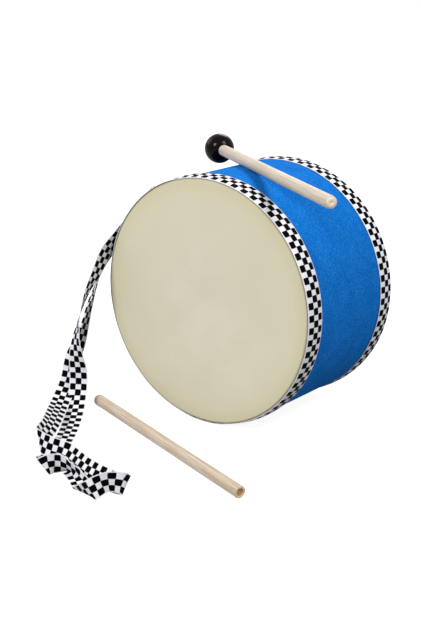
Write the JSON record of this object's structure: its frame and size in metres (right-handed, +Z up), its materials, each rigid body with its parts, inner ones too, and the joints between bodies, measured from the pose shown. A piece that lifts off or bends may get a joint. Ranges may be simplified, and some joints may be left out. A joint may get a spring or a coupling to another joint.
{
  "type": "davul",
  "caption": "Small two-headed davul drum lying on its side, with skin heads, felt-wrapped shell, checked ribbon trim and folded ribbon strap, ball mallet and plain stick.",
  "frame": {"origin": "centre of the front head's outer face", "axes": "+Y along the drum's axis from the front head to the rear head, +Z up from the floor that the drum lies on, +X to the right when looking at the front head"},
  "size_m": [0.3366, 0.3687, 0.279],
  "materials": {
    "bent_plywood": "bare bent plywood, inside the felt wrap",
    "hoop_plywood": "bare plywood ring, glued",
    "goat_skin": "dry goat skin, matt with a faint sheen",
    "blue_felt": "felt-like wrap, matt",
    "checked_ribbon": "woven ribbon with rows of black and white checks",
    "tack_brass": "dome head, satin",
    "lacquered_ball": "turned ball, dark gloss lacquer",
    "beech_dowel": "sanded beech dowel"
  },
  "bodies": {
    "drum": {"shell": "bent_plywood", "front_hoop": "hoop_plywood", "rear_hoop": "hoop_plywood", "front_head": "goat_skin", "rear_head": "goat_skin", "shell_cover": "blue_felt", "front_trim": "checked_ribbon", "rear_trim": "checked_ribbon", "strap": "checked_ribbon", "front_tack": "tack_brass", "rear_tack": "tack_brass"},
    "mallet": {"mallet_ball": "lacquered_ball", "mallet_handle": "beech_dowel"},
    "stick": {"stick": "beech_dowel"}
  },
  "joints": [
    {"name": "mallet_lift", "type": "slide", "parent": "drum", "child": "mallet", "axis": [0, 0, 1], "range_m": [0, 0.15]},
    {"name": "stick_lift", "type": "slide", "parent": "drum", "child": "stick", "axis": [0, 0, 1], "range_m": [0, 0.3]}
  ]
}
